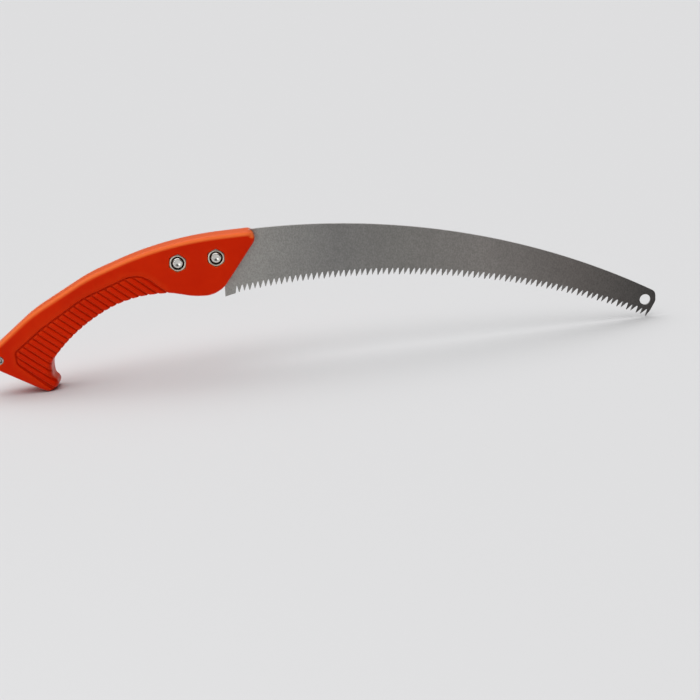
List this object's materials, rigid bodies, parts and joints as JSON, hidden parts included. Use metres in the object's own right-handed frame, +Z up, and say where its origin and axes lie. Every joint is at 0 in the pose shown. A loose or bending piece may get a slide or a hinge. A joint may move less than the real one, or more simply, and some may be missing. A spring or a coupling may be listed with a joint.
{
  "type": "curved pruning saw",
  "caption": "Fixed-blade curved pruning saw: arched pull-cut blade with a hang hole, bolted between the halves of a hooked, ribbed plastic handle.",
  "frame": {"origin": "middle of the saw's length on the blade's mid plane, at the level of the hook's foot and the last tooth", "axes": "+X along the saw towards the blade's tip, +Z up with the teeth down, -Y the side with the nuts"},
  "size_m": [0.5041, 0.0218, 0.1032],
  "materials": {
    "blade_steel": "satin ground carbon steel",
    "handle_plastic": "orange-red moulded plastic, satin gloss",
    "eyelet_nickel": "nickel plated",
    "bolt_steel": "bright zinc plated",
    "nut_steel": "zinc plated",
    "screw_steel": "zinc plated"
  },
  "bodies": {
    "root": {"blade": "blade_steel", "nut_side_shell": "handle_plastic", "bolt_side_shell": "handle_plastic", "lanyard_eyelet": "eyelet_nickel", "front_blade_bolt": "bolt_steel", "rear_blade_bolt": "bolt_steel", "front_blade_nut": "nut_steel", "rear_blade_nut": "nut_steel", "front_washer": "nut_steel", "rear_washer": "nut_steel", "front_grip_screw": "screw_steel", "rear_grip_screw": "screw_steel"}
  },
  "joints": []
}
